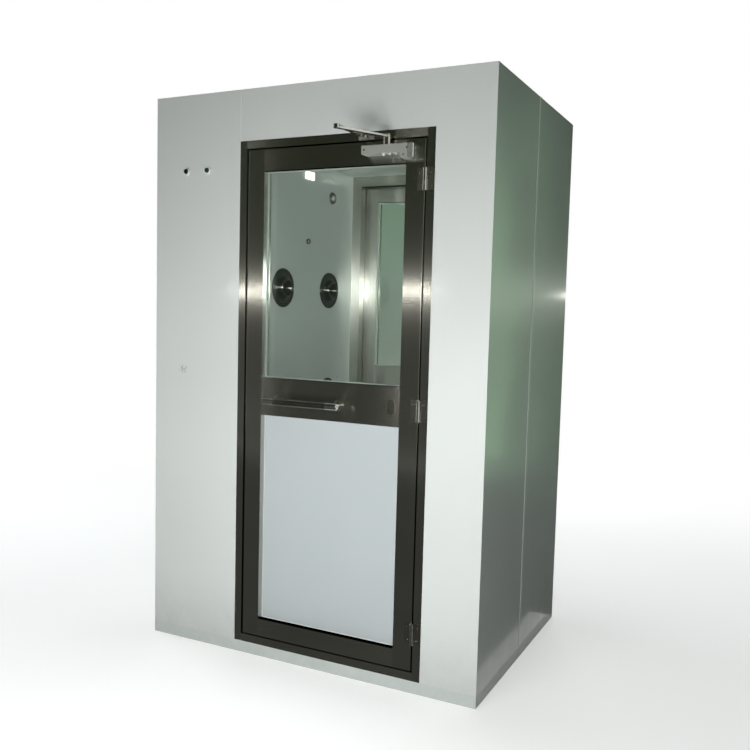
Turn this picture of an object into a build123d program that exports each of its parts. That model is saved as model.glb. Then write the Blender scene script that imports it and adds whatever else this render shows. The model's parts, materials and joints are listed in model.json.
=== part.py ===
from build123d import *
import math
import os

# Cleanroom air shower, one person wide, in millimetres.
# Origin: centre of the underside. The front door faces -Y, +Z is up.

# Cabinet
cabinet_width = 1400.0
cabinet_depth = 1000.0
cabinet_height = 2150.0
panel_thickness = 50.0
base_height = 45.0
side_strip_width = 25.0
side_strip_proud = 1.5
side_strip_chamfer = 0.7
seam_chamfer = 1.5

# Chamber between the fan case on the left and the service case on the right
fan_case_width = 400.0
service_case_width = 210.0
inner_wall_thickness = 30.0
ceiling_thickness = 30.0
floor_sheet_thickness = 3.0

# Door frames
header_height = 190.0
frame_face = 30.0
frame_depth = 100.0
stop_width = 15.0
seal_gap = 5.0

# Door leaves
leaf_thickness = 50.0
hinge_side_gap = 6.0
latch_side_gap = 8.0
head_gap = 6.0
sill_gap = 5.0
stile_width = 71.0
top_rail_height = 79.0
lock_rail_height = 141.0
lock_rail_underside = 939.0
bottom_rail_height = 67.0
infill_setback = 26.0
glass_thickness = 6.0
lower_panel_thickness = 18.0
leaf_edge_radius = 2.0

# Lift-off hinges
hinge_inset = 136.0
hinge_height = 75.0
knuckle_radius = 7.0
knuckle_face_gap = 0.3
knuckle_split_gap = 0.6
hinge_pin_radius = 3.6
hinge_pin_clearance = 0.1
hinge_pin_end_gap = 4.0
hinge_cap_thickness = 2.0
hinge_plate_thickness = 2.5
hinge_plate_width = 21.0
hinge_plate_clearance = 1.2

# Pull handle
handle_rise = 61.0
handle_inset = 122.0
handle_length = 310.0
handle_radius = 12.5
handle_end_chamfer = 1.5
handle_standoff = 60.0
handle_post_inset = 25.0
handle_post_radius = 8.0
handle_rose_radius = 19.0
handle_rose_thickness = 5.0
handle_rose_chamfer = 1.2

# Lock with a long keyhole plate, at the hinge end of the lock rail
lock_inset = 103.0
lock_rise = 69.0
lock_plate_height = 56.0
lock_plate_width = 28.0
lock_plate_thickness = 2.0
lock_plug_radius = 8.5
lock_plug_rise = 15.0
lock_plug_proud = 1.5
lock_tail_radius = 5.0
keyway_width = 1.6
keyway_height = 8.0
keyway_depth = 1.2

# Door closer, on the top rail of each leaf
closer_spindle_offset = 135.0
closer_spindle_out = 25.0
closer_body_hinge_reach = 106.0
closer_body_latch_reach = 90.0
closer_body_depth = 45.0
closer_body_height = 29.0
closer_body_drop = 21.0
closer_end_length = 50.0
closer_end_drop = 18.0
closer_edge_radius = 4.0
valve_radius = 3.5
valve_proud = 2.0
valve_spacing = 17.0
spindle_radius = 8.0
spindle_nut_radius = 9.5
spindle_nut_height = 5.0
arm_hub_radius = 13.0
hub_clearance = 0.6
arm_lift = 6.0
arm_thickness = 6.0
main_arm_length = 211.0
main_arm_root_width = 24.0
main_arm_tip_width = 17.0
forearm_length = 195.0
forearm_width = 15.0
elbow_radius = 11.0
elbow_pin_radius = 5.0
elbow_clearance = 0.4
shoe_hinge_offset = 227.0
shoe_pivot_out = 20.0
shoe_plate_width = 58.0
shoe_plate_height = 26.0
shoe_plate_thickness = 5.0
shoe_tongue_radius = 12.0
shoe_tongue_thickness = 5.0
shoe_gap = 1.0

# Air nozzles in the chamber's left wall
nozzle_columns = 2
nozzle_rows = 3
nozzle_column_spacing = 380.0
nozzle_top_drop = 535.0
nozzle_grille_gap = 76.0
nozzle_flange_radius = 80.0
nozzle_flange_thickness = 5.0
nozzle_flange_edge = 3.0
nozzle_collar_radius = 64.0
nozzle_collar_fit = 0.3
nozzle_collar_tail = 15.0
nozzle_ball_radius = 56.0
nozzle_ball_clearance = 0.5
nozzle_ball_set = 20.0
nozzle_nose_reach = 42.0
nozzle_mouth_radius = 32.0
nozzle_throat_radius = 15.0
nozzle_throat_length = 16.0
nozzle_flare_bow = 4.8
nozzle_tail_reach = 40.0
nozzle_tail_radius = 34.0

# Return air grilles, low in the same wall
grille_width = 200.0
grille_height = 180.0
grille_floor_gap = 63.0
grille_spacing = 280.0
grille_border = 14.0
grille_rim_proud = 2.5
grille_depth = 16.0
grille_fit = 0.5
louvre_count = 9
louvre_thickness = 2.0
louvre_tilt = 35.0

# Small fittings
lamp_spacing = 100.0
lamp_right_inset = 150.0
lamp_drop = 290.0
lamp_bezel_radius = 15.0
lamp_bezel_thickness = 6.0
lamp_bezel_chamfer = 1.5
lamp_lens_radius = 11.5
lamp_lens_reach = 16.0
lamp_lens_round = 5.7
sensor_drop = 330.0
sensor_radius = 12.0
sensor_reach = 8.0
sensor_chamfer = 2.0
wall_light_drop = 52.0
wall_light_length = 60.0
wall_light_width = 32.0
wall_light_depth = 12.0
wall_light_round = 4.0

# Faces and edges worked out from the sizes above
x_left = -cabinet_width / 2
x_right = cabinet_width / 2
y_front = -cabinet_depth / 2
chamber_left = x_left + fan_case_width
chamber_right = x_right - service_case_width
chamber_middle = (chamber_left + chamber_right) / 2
frame_top = cabinet_height - header_height
frame_back = y_front + frame_depth
doorway_left = chamber_left + frame_face
doorway_right = chamber_right - frame_face
doorway_bottom = base_height + frame_face
doorway_top = frame_top - frame_face
leaf_left = doorway_left + latch_side_gap
leaf_right = doorway_right - hinge_side_gap
leaf_bottom = doorway_bottom + sill_gap
leaf_top = doorway_top - head_gap
leaf_back = y_front + leaf_thickness
infill_left = leaf_left + stile_width
infill_right = leaf_right - stile_width
lock_rail_top = lock_rail_underside + lock_rail_height
hinge_x = doorway_right - hinge_side_gap / 2
hinge_y = y_front - knuckle_radius - knuckle_face_gap
spindle_x = hinge_x - closer_spindle_offset
spindle_y = y_front - closer_spindle_out
shoe_x = hinge_x - shoe_hinge_offset
shoe_y = y_front - shoe_pivot_out
closer_body_top = leaf_top - closer_body_drop
arm_z = leaf_top + arm_lift
forearm_z = arm_z + arm_thickness + elbow_clearance
ball_x = chamber_left - nozzle_ball_set
grille_rim_height = grille_height + 2 * grille_border
grille_centre_height = (base_height + floor_sheet_thickness + grille_floor_gap
                        + grille_rim_height / 2)
nozzle_top_height = frame_top - nozzle_top_drop
nozzle_bottom_height = (grille_centre_height + grille_rim_height / 2 + nozzle_grille_gap
                        + nozzle_flange_radius)
nozzle_row_spacing = (nozzle_top_height - nozzle_bottom_height) / (nozzle_rows - 1)
lamp_height = cabinet_height - lamp_drop
sensor_height = frame_top - sensor_drop
wall_light_height = frame_top - wall_light_drop


def block(x0, x1, y0, y1, z0, z1):
    """A rectangular block between two opposite corners."""
    middle = ((x0 + x1) / 2, (y0 + y1) / 2, (z0 + z1) / 2)
    return Location(middle) * Box(x1 - x0, y1 - y0, z1 - z0)


def prism(points, z0, z1):
    """An upright prism on a plan given by its corners."""
    plan = make_face(Polyline(*points, close=True))
    return extrude(Location((0, 0, z0)) * plan, z1 - z0, dir=(0, 0, 1))


def post(x, y, radius, z0, z1):
    """An upright round bar."""
    return Location((x, y, (z0 + z1) / 2)) * Cylinder(radius, z1 - z0)


def peg(x, z, radius, y0, y1):
    """A round bar along Y."""
    return Location((x, (y0 + y1) / 2, z), (90, 0, 0)) * Cylinder(radius, y1 - y0)


def wall_peg(y, z, radius, x0, x1):
    """A round bar along X."""
    return Location(((x0 + x1) / 2, y, z), (0, 90, 0)) * Cylinder(radius, x1 - x0)


def to_back(shape):
    """The same piece on the back door: half a turn about the middle of the chamber."""
    return shape.rotate(Axis((chamber_middle, 0, 0), (0, 0, 1)), 180)


def to_rear_wall(shape):
    """Mirror a front wall piece to the rear wall."""
    return shape.mirror(Plane.XZ)


def to_right_side(shape):
    """Mirror a left side piece to the right side."""
    return shape.mirror(Plane.YZ)


def save(name, shape):
    """Write one node's STEP file."""
    export_step(shape, "parts/" + name + ".step")


# Outer panels: folded steel over a core, mitred at the four upright corners
def front_left_panel():
    inner = x_left + panel_thickness
    back = y_front + panel_thickness
    plan = [(x_left, y_front), (chamber_left, y_front), (chamber_left, back), (inner, back)]
    panel = prism(plan, base_height, cabinet_height)
    seam = panel.edges().filter_by(Axis.Z).group_by(Axis.Y)[0].sort_by(Axis.X)[-1]
    return chamfer(seam, seam_chamfer)


def front_right_panel():
    inner = x_right - panel_thickness
    back = y_front + panel_thickness
    plan = [(chamber_right, y_front), (x_right, y_front), (inner, back), (chamber_right, back)]
    return prism(plan, base_height, cabinet_height)


def front_header_panel():
    header = block(chamber_left, chamber_right, y_front, y_front + panel_thickness,
                   frame_top, cabinet_height)
    seam = header.edges().filter_by(Axis.Z).group_by(Axis.Y)[0].sort_by(Axis.X)[0]
    return chamfer(seam, seam_chamfer)


def left_side_panels():
    inner = x_left + panel_thickness
    corner = y_front + panel_thickness
    half_strip = side_strip_width / 2
    plan = [(x_left, y_front), (inner, corner), (inner, -half_strip), (x_left, -half_strip)]
    front_panel = prism(plan, base_height, cabinet_height)
    return Compound([front_panel, to_rear_wall(front_panel)])


def left_joint_strip():
    half_strip = side_strip_width / 2
    strip = block(x_left - side_strip_proud, x_left + panel_thickness, -half_strip, half_strip,
                  base_height, cabinet_height)
    outer = strip.edges().filter_by(Axis.Z).group_by(Axis.X)[0]
    return chamfer(outer, side_strip_chamfer)


def roof_panel():
    return block(x_left + panel_thickness, x_right - panel_thickness,
                 y_front + panel_thickness, -y_front - panel_thickness,
                 cabinet_height - panel_thickness, cabinet_height)


def base_plinth():
    return block(x_left, x_right, y_front, -y_front, 0, base_height)


# Chamber lining
def nozzle_places():
    """Y and Z of each nozzle, top row first."""
    start = -nozzle_column_spacing * (nozzle_columns - 1) / 2
    return [(start + column * nozzle_column_spacing, nozzle_top_height - row * nozzle_row_spacing)
            for row in range(nozzle_rows) for column in range(nozzle_columns)]


def grille_places():
    """Y of each return air grille."""
    return (-grille_spacing / 2, grille_spacing / 2)


def chamber_left_wall():
    back = chamber_left - inner_wall_thickness
    wall = block(back, chamber_left, y_front + panel_thickness, -y_front - panel_thickness,
                 base_height, frame_top)
    for y, z in nozzle_places():
        wall -= wall_peg(y, z, nozzle_collar_radius + nozzle_collar_fit, back, chamber_left)
    half_width = grille_width / 2
    half_height = grille_height / 2
    for y in grille_places():
        wall -= block(back, chamber_left, y - half_width, y + half_width,
                      grille_centre_height - half_height, grille_centre_height + half_height)
    return wall


def chamber_right_wall():
    return block(chamber_right, chamber_right + inner_wall_thickness,
                 y_front + panel_thickness, -y_front - panel_thickness, base_height, frame_top)


def chamber_ceiling():
    return block(chamber_left - inner_wall_thickness, chamber_right + inner_wall_thickness,
                 y_front + panel_thickness, -y_front - panel_thickness,
                 frame_top, frame_top + ceiling_thickness)


def floor_sheet():
    return block(chamber_left, chamber_right, frame_back, -frame_back,
                 base_height, base_height + floor_sheet_thickness)


# Ball nozzles: a ring in the wall holds a ball that tilts in it
def nozzle_ring(y, z):
    """A turned ring: a flange on the wall, a collar through it and a spherical seat."""
    seat_radius = nozzle_ball_radius + nozzle_ball_clearance
    front = nozzle_ball_set + nozzle_flange_thickness
    tail = nozzle_ball_set - inner_wall_thickness - nozzle_collar_tail
    front_bore = math.sqrt(seat_radius ** 2 - front ** 2)
    tail_bore = math.sqrt(seat_radius ** 2 - tail ** 2)
    edge_start = (front, nozzle_flange_radius - nozzle_flange_edge)
    edge_end = (front - nozzle_flange_edge, nozzle_flange_radius)
    bulge = nozzle_flange_edge * math.sqrt(0.5)
    edge_middle = (edge_end[0] + bulge, edge_start[1] + bulge)
    section = make_face([
        Line((front, front_bore), edge_start),
        ThreePointArc(edge_start, edge_middle, edge_end),
        Polyline(edge_end, (nozzle_ball_set, nozzle_flange_radius),
                 (nozzle_ball_set, nozzle_collar_radius), (tail, nozzle_collar_radius),
                 (tail, tail_bore)),
        ThreePointArc((tail, tail_bore), (0, seat_radius), (front, front_bore)),
    ])
    return Location((ball_x, y, z)) * revolve(section, Axis.X)


def nozzle_ball(y, z):
    """A turned ball with a flared mouth, a straight throat and a wide inlet behind."""
    nose_radius = math.sqrt(nozzle_ball_radius ** 2 - nozzle_nose_reach ** 2)
    tail_radius = math.sqrt(nozzle_ball_radius ** 2 - nozzle_tail_reach ** 2)
    throat_front = nozzle_throat_length / 2
    outside = ThreePointArc((-nozzle_tail_reach, tail_radius), (0, nozzle_ball_radius),
                            (nozzle_nose_reach, nose_radius))
    nose_rim = Line((nozzle_nose_reach, nose_radius), (nozzle_nose_reach, nozzle_mouth_radius))
    flare = SagittaArc((nozzle_nose_reach, nozzle_mouth_radius),
                       (throat_front, nozzle_throat_radius), nozzle_flare_bow)
    throat = Line((throat_front, nozzle_throat_radius), (-throat_front, nozzle_throat_radius))
    inlet = Line((-throat_front, nozzle_throat_radius), (-nozzle_tail_reach, nozzle_tail_radius))
    tail_rim = Line((-nozzle_tail_reach, nozzle_tail_radius), (-nozzle_tail_reach, tail_radius))
    section = make_face([outside, nose_rim, flare, throat, inlet, tail_rim])
    ball = revolve(section, Axis.X)
    return Location((ball_x, y, z)) * ball


def return_air_grille(y):
    """A rim on the wall face round a tray of sloping louvres."""
    half_width = grille_width / 2 - grille_fit
    half_height = grille_height / 2 - grille_fit
    rim_width = grille_width / 2 + grille_border
    rim_height = grille_rim_height / 2
    clear_width = half_width - grille_border
    clear_height = half_height - grille_border
    back = chamber_left - grille_depth
    front = chamber_left + grille_rim_proud
    low = grille_centre_height
    rim = block(chamber_left, front, y - rim_width, y + rim_width, low - rim_height, low + rim_height)
    tray = block(back, chamber_left, y - half_width, y + half_width,
                 low - half_height, low + half_height)
    window = block(back, front, y - clear_width, y + clear_width,
                   low - clear_height, low + clear_height)
    grille = rim + tray - window
    pitch = 2 * clear_height / louvre_count
    middle = (back + chamber_left) / 2
    for index in range(louvre_count):
        height = low - clear_height + (index + 0.5) * pitch
        place = Location((middle, y, height), (0, louvre_tilt, 0))
        blade = place * Box(grille_depth, 2 * clear_width + grille_border, louvre_thickness)
        grille += blade & tray
    return grille


# Door frame: four folded members with a stop behind the leaf
def door_frame():
    frame = block(chamber_left, chamber_right, y_front, frame_back, base_height, frame_top)
    stop_face = leaf_back + seal_gap
    frame -= block(doorway_left, doorway_right, y_front, stop_face, doorway_bottom, doorway_top)
    frame -= block(doorway_left + stop_width, doorway_right - stop_width, stop_face, frame_back,
                   doorway_bottom, doorway_top - stop_width)
    return frame


# Door leaf: two stiles and three rails, welded and polished as one frame
def leaf_window(z0, z1):
    """The through opening between two rails."""
    return block(infill_left, infill_right, y_front, leaf_back, z0, z1)


def door_leaf():
    leaf = block(leaf_left, leaf_right, y_front, leaf_back, leaf_bottom, leaf_top)
    leaf = fillet(leaf.edges().filter_by(Axis.Z), leaf_edge_radius)
    leaf -= leaf_window(lock_rail_top, leaf_top - top_rail_height)
    leaf -= leaf_window(leaf_bottom + bottom_rail_height, lock_rail_underside)
    return leaf


def door_glass():
    face = y_front + infill_setback
    return block(infill_left, infill_right, face, face + glass_thickness,
                 lock_rail_top, leaf_top - top_rail_height)


def door_lower_panel():
    face = y_front + infill_setback
    return block(infill_left, infill_right, face, face + lower_panel_thickness,
                 leaf_bottom + bottom_rail_height, lock_rail_underside)


def door_handle():
    """A round bar on two posts, each with a rose on the lock rail."""
    height = lock_rail_underside + handle_rise
    start = leaf_left + handle_inset
    bar_y = y_front - handle_standoff
    bar = wall_peg(bar_y, height, handle_radius, start, start + handle_length)
    bar = chamfer(bar.edges(), handle_end_chamfer)
    for x in (start + handle_post_inset, start + handle_length - handle_post_inset):
        bar += peg(x, height, handle_post_radius, bar_y, y_front)
        rose = peg(x, height, handle_rose_radius, y_front - handle_rose_thickness, y_front)
        bar += chamfer(rose.edges().group_by(Axis.Y)[0], handle_rose_chamfer)
    return bar


def door_lock():
    """A round-ended plate with the lock's plug and tail standing out of it."""
    x = leaf_right - lock_inset
    height = lock_rail_underside + lock_rise
    face = y_front - lock_plate_thickness
    front = face - lock_plug_proud
    upright = Plane((x, y_front, height), x_dir=(0, 0, 1), z_dir=(0, -1, 0))
    plate = extrude(upright * SlotOverall(lock_plate_height, lock_plate_width),
                    lock_plate_thickness)
    plug_height = height + lock_plug_rise - lock_plug_radius
    tail_height = plug_height - lock_plug_rise
    lock = plate + peg(x, plug_height, lock_plug_radius, front, y_front)
    lock += peg(x, tail_height, lock_tail_radius, front, y_front)
    half_key = keyway_width / 2
    return lock - block(x - half_key, x + half_key, front, front + keyway_depth,
                        plug_height - keyway_height / 2, plug_height + keyway_height / 2)


# Lift-off hinges: the pin stands on the frame's half, the door's half drops over it
def hinge_centres():
    return (leaf_bottom + hinge_inset, (leaf_bottom + leaf_top) / 2, leaf_top - hinge_inset)


def hinge_plate(side, centre):
    """One flat hinge plate, side +1 on the frame and -1 on the leaf."""
    inner = hinge_x + side * (knuckle_radius + hinge_plate_clearance)
    outer = inner + side * hinge_plate_width
    return block(min(inner, outer), max(inner, outer), y_front - hinge_plate_thickness, y_front,
                 centre - hinge_height / 2, centre + hinge_height / 2)


def hinge_tab(side, z0, z1):
    """The part of the plate that runs on to its own knuckle."""
    outer = hinge_x + side * (knuckle_radius + hinge_plate_clearance)
    return block(min(hinge_x, outer), max(hinge_x, outer),
                 y_front - hinge_plate_thickness, y_front - knuckle_face_gap, z0, z1)


def frame_hinge_halves():
    halves = []
    for centre in hinge_centres():
        low = centre - hinge_height / 2
        split = centre - knuckle_split_gap / 2
        pin_top = centre + hinge_height / 2 - hinge_pin_end_gap
        half = hinge_plate(1, centre) + hinge_tab(1, low, split)
        half += post(hinge_x, hinge_y, knuckle_radius, low, split)
        half += post(hinge_x, hinge_y, hinge_pin_radius, split, pin_top)
        halves.append(half)
    return halves


def leaf_hinge_halves():
    halves = []
    for centre in hinge_centres():
        high = centre + hinge_height / 2
        split = centre + knuckle_split_gap / 2
        bore_top = high - hinge_cap_thickness
        half = hinge_plate(-1, centre) + hinge_tab(-1, split, high)
        half += post(hinge_x, hinge_y, knuckle_radius, split, high)
        half -= post(hinge_x, hinge_y, hinge_pin_radius + hinge_pin_clearance, split, bore_top)
        halves.append(half)
    return halves


# Door closer: body and spindle on the leaf, two arms, and a shoe on the frame head
def closer_body():
    left = spindle_x - closer_body_latch_reach
    right = spindle_x + closer_body_hinge_reach
    out = y_front - closer_body_depth
    low = closer_body_top - closer_body_height
    case = block(left, right, out, y_front, low, closer_body_top)
    case += block(right - closer_end_length, right, out, y_front,
                  low - closer_end_drop, closer_body_top)
    soft = case.edges().filter_by(Axis.Y) + case.edges().filter_by(Axis.Z).group_by(Axis.Y)[0]
    case = fillet(soft, closer_edge_radius)
    end_middle = closer_body_top - (closer_body_height + closer_end_drop) / 2
    for side in (-1, 1):
        case += wall_peg((out + y_front) / 2, end_middle + side * valve_spacing / 2,
                         valve_radius, right - valve_proud, right + valve_proud)
    spindle_top = arm_z + arm_thickness + hub_clearance
    case += post(spindle_x, spindle_y, spindle_radius, closer_body_top, spindle_top)
    nut = Location((spindle_x, spindle_y, spindle_top)) * extrude(
        RegularPolygon(spindle_nut_radius, 6), spindle_nut_height)
    return case + nut


def elbow_place():
    """Where the two arms meet when the door is shut: the outer crossing of two circles."""
    run_x = shoe_x - spindle_x
    run_y = shoe_y - spindle_y
    span = math.hypot(run_x, run_y)
    along = (main_arm_length ** 2 - forearm_length ** 2 + span ** 2) / (2 * span)
    across = math.sqrt(main_arm_length ** 2 - along ** 2)
    x = spindle_x + (along * run_x - across * run_y) / span
    y = spindle_y + (along * run_y + across * run_x) / span
    return x, y


def tapered_bar(start, end, start_width, end_width, z0, z1):
    """A flat bar between two points, as wide as stated at each."""
    length = math.hypot(end[0] - start[0], end[1] - start[1])
    turn = math.degrees(math.atan2(end[1] - start[1], end[0] - start[0]))
    plan = [(0, -start_width / 2), (length, -end_width / 2),
            (length, end_width / 2), (0, start_width / 2)]
    bar = prism(plan, z0, z1)
    return Location((start[0], start[1], 0), (0, 0, turn)) * bar


def closer_main_arm():
    elbow = elbow_place()
    top = arm_z + arm_thickness
    arm = tapered_bar((spindle_x, spindle_y), elbow, main_arm_root_width, main_arm_tip_width,
                      arm_z, top)
    arm += post(elbow[0], elbow[1], elbow_radius, arm_z, top)
    hub_foot = closer_body_top + hub_clearance
    arm += post(spindle_x, spindle_y, arm_hub_radius, hub_foot, top)
    arm -= post(spindle_x, spindle_y, spindle_radius + hub_clearance, hub_foot, top)
    pin_top = forearm_z + arm_thickness + elbow_clearance
    return arm + post(elbow[0], elbow[1], elbow_pin_radius, top, pin_top)


def closer_forearm():
    elbow = elbow_place()
    top = forearm_z + arm_thickness
    arm = tapered_bar(elbow, (shoe_x, shoe_y), forearm_width, forearm_width, forearm_z, top)
    for x, y in (elbow, (shoe_x, shoe_y)):
        arm += post(x, y, elbow_radius, forearm_z, top)
    return arm - post(elbow[0], elbow[1], elbow_pin_radius + elbow_clearance, forearm_z, top)


def closer_shoe():
    """The foot on the frame head, with a tongue under the forearm's eye."""
    centre_z = (doorway_top + frame_top) / 2
    half = shoe_plate_width / 2
    plate = block(shoe_x - half, shoe_x + half, y_front - shoe_plate_thickness, y_front,
                  centre_z - shoe_plate_height / 2, centre_z + shoe_plate_height / 2)
    tongue_top = forearm_z - shoe_gap
    tongue_foot = tongue_top - shoe_tongue_thickness
    tongue = block(shoe_x - shoe_tongue_radius, shoe_x + shoe_tongue_radius, shoe_y, y_front,
                   tongue_foot, tongue_top)
    return plate + tongue + post(shoe_x, shoe_y, shoe_tongue_radius, tongue_foot, tongue_top)


# Small fittings
def pilot_lamp(x):
    """A round bezel and a domed lens on the fan case's front."""
    bezel = peg(x, lamp_height, lamp_bezel_radius, y_front - lamp_bezel_thickness, y_front)
    bezel = chamfer(bezel.edges().group_by(Axis.Y)[0], lamp_bezel_chamfer)
    lens = peg(x, lamp_height, lamp_lens_radius, y_front - lamp_lens_reach, y_front)
    lens = fillet(lens.edges().group_by(Axis.Y)[0], lamp_lens_round)
    return bezel + lens


def presence_sensor():
    sensor = wall_peg(0, sensor_height, sensor_radius, chamber_left, chamber_left + sensor_reach)
    return chamfer(sensor.edges().group_by(Axis.X)[-1], sensor_chamfer)


def wall_light():
    half_length = wall_light_length / 2
    half_width = wall_light_width / 2
    light = block(chamber_left, chamber_left + wall_light_depth, -half_length, half_length,
                  wall_light_height - half_width, wall_light_height + half_width)
    return fillet(light.edges().group_by(Axis.X)[-1], wall_light_round)


def save_cabinet():
    save("base_plinth", base_plinth())
    save("roof_panel", roof_panel())
    save("front_left_panel", front_left_panel())
    save("front_right_panel", front_right_panel())
    save("front_header_panel", front_header_panel())
    save("back_left_panel", to_rear_wall(front_left_panel()))
    save("back_right_panel", to_rear_wall(front_right_panel()))
    save("back_header_panel", to_rear_wall(front_header_panel()))
    save("left_side_panels", left_side_panels())
    save("right_side_panels", to_right_side(left_side_panels()))
    save("left_joint_strip", left_joint_strip())
    save("right_joint_strip", to_right_side(left_joint_strip()))
    save("chamber_left_wall", chamber_left_wall())
    save("chamber_right_wall", chamber_right_wall())
    save("chamber_ceiling", chamber_ceiling())
    save("floor_sheet", floor_sheet())


def save_fittings():
    save("nozzle_rings", Compound([nozzle_ring(y, z) for y, z in nozzle_places()]))
    for number, (y, z) in enumerate(nozzle_places(), start=1):
        save("nozzle_ball_" + str(number), nozzle_ball(y, z))
    save("return_air_grilles", Compound([return_air_grille(y) for y in grille_places()]))
    lamp_x = chamber_left - lamp_right_inset
    save("pilot_lamp_right", pilot_lamp(lamp_x))
    save("pilot_lamp_left", pilot_lamp(lamp_x - lamp_spacing))
    save("presence_sensor", presence_sensor())
    save("wall_light", wall_light())
    save("front_door_frame", door_frame())
    save("back_door_frame", to_back(door_frame()))
    hinge_halves = frame_hinge_halves()
    save("frame_hinge_halves", Compound(hinge_halves + [to_back(half) for half in hinge_halves]))
    save("closer_shoes", Compound([closer_shoe(), to_back(closer_shoe())]))


def save_doors():
    pieces = {
        "door_leaf": door_leaf(),
        "door_glass": door_glass(),
        "door_lower_panel": door_lower_panel(),
        "door_handle": door_handle(),
        "door_lock": door_lock(),
        "door_hinge_halves": Compound(leaf_hinge_halves()),
        "closer_body": closer_body(),
        "closer_main_arm": closer_main_arm(),
        "closer_forearm": closer_forearm(),
    }
    for name, piece in pieces.items():
        save("front_" + name, piece)
        save("back_" + name, to_back(piece))


os.makedirs("parts", exist_ok=True)
save_cabinet()
save_fittings()
save_doors()
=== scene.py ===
# %% [markdown]
# Cleanroom air shower
#
# An air shower is a small steel cabin between a changing room and a cleanroom. Someone stands
# inside for half a minute while jets of filtered air blow the dust off their clothes. It has a
# glazed door at each end, a deep case for the fan on one side, and ball nozzles in the wall.
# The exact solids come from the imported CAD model. This lesson gives every one of them a real
# finish and adds the small trim that the solids leave out: seals, screws, caps and lamp bezels.
# Everything is in metres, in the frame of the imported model.

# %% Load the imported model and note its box
import json
import math

import bmesh
import bpy
from mathutils import Matrix, Vector


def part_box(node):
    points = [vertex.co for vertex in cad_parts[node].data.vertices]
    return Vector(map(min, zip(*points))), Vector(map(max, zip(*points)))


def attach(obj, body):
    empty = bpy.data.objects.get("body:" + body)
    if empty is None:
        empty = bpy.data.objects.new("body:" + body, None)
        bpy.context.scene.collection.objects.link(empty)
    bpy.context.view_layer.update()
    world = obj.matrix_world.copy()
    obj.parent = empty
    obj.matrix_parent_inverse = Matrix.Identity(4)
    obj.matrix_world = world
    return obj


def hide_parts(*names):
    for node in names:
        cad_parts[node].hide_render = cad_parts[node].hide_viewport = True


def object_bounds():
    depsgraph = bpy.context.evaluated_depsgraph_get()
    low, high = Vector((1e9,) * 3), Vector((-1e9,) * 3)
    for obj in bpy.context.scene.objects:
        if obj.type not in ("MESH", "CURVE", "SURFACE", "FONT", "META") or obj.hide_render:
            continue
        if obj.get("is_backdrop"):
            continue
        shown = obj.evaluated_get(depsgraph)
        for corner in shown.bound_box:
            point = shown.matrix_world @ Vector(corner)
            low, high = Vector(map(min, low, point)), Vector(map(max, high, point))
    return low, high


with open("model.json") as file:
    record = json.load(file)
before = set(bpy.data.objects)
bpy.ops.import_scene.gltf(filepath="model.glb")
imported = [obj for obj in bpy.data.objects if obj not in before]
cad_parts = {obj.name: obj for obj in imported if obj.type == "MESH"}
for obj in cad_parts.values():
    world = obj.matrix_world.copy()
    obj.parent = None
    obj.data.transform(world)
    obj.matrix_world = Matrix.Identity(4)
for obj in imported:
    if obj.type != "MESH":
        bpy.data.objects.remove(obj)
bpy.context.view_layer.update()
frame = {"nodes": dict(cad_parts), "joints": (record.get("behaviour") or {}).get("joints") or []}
nodes = frame["nodes"]
MM = 0.001

# %% [markdown]
# Places that the trim needs
#
# A seal sits on a glass pane, a screw sits on a hinge plate. Their places are read from the
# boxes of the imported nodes, so the trim follows the solids if a size changes there. The back
# door is the front door turned by half a turn about the upright line in the middle of the
# chamber, so one matrix makes the back copy of any front piece.

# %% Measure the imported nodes
frame_low, frame_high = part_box("front_door_frame")
leaf_low, leaf_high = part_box("front_door_leaf")
glass_low, glass_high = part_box("front_door_glass")
panel_low, panel_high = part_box("front_door_lower_panel")
closer_low, closer_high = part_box("front_closer_body")
middle_x = (frame_low.x + frame_high.x) / 2
front_y = frame_low.y
hinge_joint = next(j for j in frame["joints"] if j["name"] == "front_door_hinge")
hinge_x = hinge_joint["pos_m"][0]
half_turn = (Matrix.Translation((middle_x, 0, 0)) @ Matrix.Rotation(math.pi, 4, "Z")
             @ Matrix.Translation((-middle_x, 0, 0)))
print("front face at y =", round(front_y, 4), "hinge line at x =", round(hinge_x, 4))

# %% [markdown]
# Colours and nodes
#
# Colours are picked as sRGB hex values, the way a screen shows them, and Blender's shaders want
# linear light. One function turns the first into the second. A second one adds a shader node,
# sets its properties, and sets or links its inputs, so that a material reads as a short list.
# A third starts an empty material.

# %% Three helpers for materials
def linear(hex_code):
    """An sRGB hex colour as linear RGBA."""
    channels = [int(hex_code[i:i + 2], 16) / 255 for i in (1, 3, 5)]
    return [c / 12.92 if c <= 0.04045 else ((c + 0.055) / 1.055) ** 2.4 for c in channels] + [1.0]


def add(tree, kind, settings=None, **inputs):
    """A new node with its settings. An input is named, or numbered as i0, and set or linked."""
    node = tree.nodes.new(kind)
    for name, value in (settings or {}).items():
        setattr(node, name, value)
    for name, value in inputs.items():
        key = int(name[1:]) if name[0] == "i" and name[1:].isdigit() else name.replace("_", " ")
        if isinstance(value, bpy.types.Node):
            value = next(s for s in value.outputs if s.enabled)
        if isinstance(value, bpy.types.NodeSocket):
            tree.links.new(value, node.inputs[key])
        else:
            node.inputs[key].default_value = value
    return node


def new_material(name):
    """An empty material, its tree, and the place on the surface in metres."""
    material = bpy.data.materials.new(name)
    material.use_nodes = True
    tree = material.node_tree
    tree.nodes.clear()
    return material, tree, add(tree, "ShaderNodeTexCoord").outputs["Object"]


print("pure grey #808080 is", round(linear("#808080")[0], 3), "in linear light")

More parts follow.
